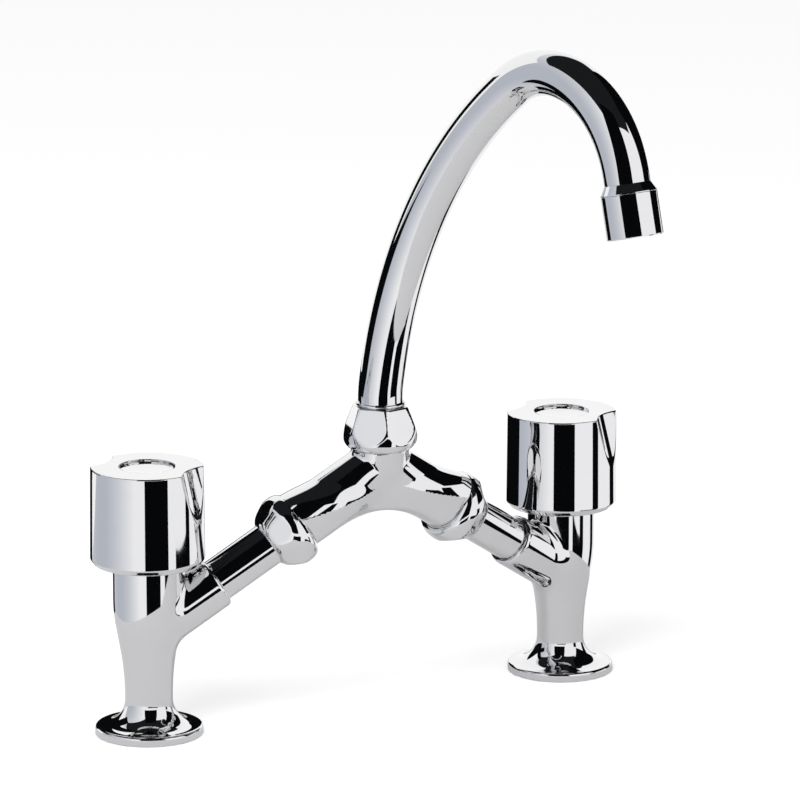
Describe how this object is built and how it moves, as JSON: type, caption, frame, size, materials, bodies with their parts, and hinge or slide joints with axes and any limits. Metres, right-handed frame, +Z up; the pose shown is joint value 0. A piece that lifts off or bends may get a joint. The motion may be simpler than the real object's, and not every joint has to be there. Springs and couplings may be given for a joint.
{
  "type": "bridge basin tap",
  "caption": "Two pillar valves with round knobs, joined by a slanted bridge that carries a tall swivelling swan-neck spout with an aerator.",
  "frame": {"origin": "midway between the two inlets, on the deck plane under the flanges", "axes": "+Z up, +X from the left inlet to the right one, -Y to the front where the spout points"},
  "size_m": [0.248, 0.2175, 0.3015],
  "materials": {
    "chrome_plate": "polished chrome plate",
    "plain_brass": "turned, unplated",
    "seal_rubber": "moulded",
    "red_fibre": "pressed fibre",
    "white_polymer": "moulded",
    "stainless_steel": "bright"
  },
  "bodies": {
    "base": {"bridge_body": "chrome_plate", "spout_nut": "chrome_plate", "pillar_left": "chrome_plate", "deck_seal_left": "seal_rubber", "tail_left": "chrome_plate", "tail_seal_left": "seal_rubber", "union_nut_left": "chrome_plate", "union_washer_left": "red_fibre", "headwork_body_left": "plain_brass", "headwork_seal_left": "red_fibre", "pillar_right": "chrome_plate", "deck_seal_right": "seal_rubber", "tail_right": "chrome_plate", "tail_seal_right": "seal_rubber", "union_nut_right": "chrome_plate", "union_washer_right": "red_fibre", "headwork_body_right": "plain_brass", "headwork_seal_right": "red_fibre"},
    "handle_left": {"handle_left": "chrome_plate", "handle_bush_left": "white_polymer", "handle_screw_left": "stainless_steel", "index_cap_left": "chrome_plate", "spindle_left": "plain_brass", "spindle_rings_left": "seal_rubber", "circlip_left": "stainless_steel"},
    "valve_left": {"jumper_left": "plain_brass", "jumper_nut_left": "plain_brass", "valve_washer_left": "seal_rubber"},
    "handle_right": {"handle_right": "chrome_plate", "handle_bush_right": "white_polymer", "handle_screw_right": "stainless_steel", "index_cap_right": "chrome_plate", "spindle_right": "plain_brass", "spindle_rings_right": "seal_rubber", "circlip_right": "stainless_steel"},
    "valve_right": {"jumper_right": "plain_brass", "jumper_nut_right": "plain_brass", "valve_washer_right": "seal_rubber"},
    "spout": {"spout_foot": "plain_brass", "spout_rings": "seal_rubber", "spout_tube": "chrome_plate", "spout_slip_ring": "chrome_plate", "spout_nozzle": "chrome_plate", "aerator_housing": "chrome_plate", "aerator_washer": "seal_rubber", "aerator_insert": "white_polymer"}
  },
  "joints": [
    {"name": "handle_left_turn", "type": "hinge", "parent": "base", "child": "handle_left", "pos_m": [-0.1, 0, 0.1], "axis": [0, 0, 1], "range_deg": [0, 810]},
    {"name": "valve_left_lift", "type": "slide", "parent": "base", "child": "valve_left", "axis": [0, 0, 1], "range_m": [0, 0.0045]},
    {"name": "handle_right_turn", "type": "hinge", "parent": "base", "child": "handle_right", "pos_m": [0.1, 0, 0.1], "axis": [0, 0, 1], "range_deg": [0, 810]},
    {"name": "valve_right_lift", "type": "slide", "parent": "base", "child": "valve_right", "axis": [0, 0, 1], "range_m": [0, 0.0045]},
    {"name": "spout_swivel", "type": "hinge", "parent": "base", "child": "spout", "pos_m": [0, -0.02, 0.12], "axis": [0, 0, 1], "continuous": true}
  ],
  "couplings": [
    {"joint": "valve_left_lift", "follows": "handle_left_turn", "m_per_rad": 0.00031831},
    {"joint": "valve_right_lift", "follows": "handle_right_turn", "m_per_rad": 0.00031831}
  ]
}
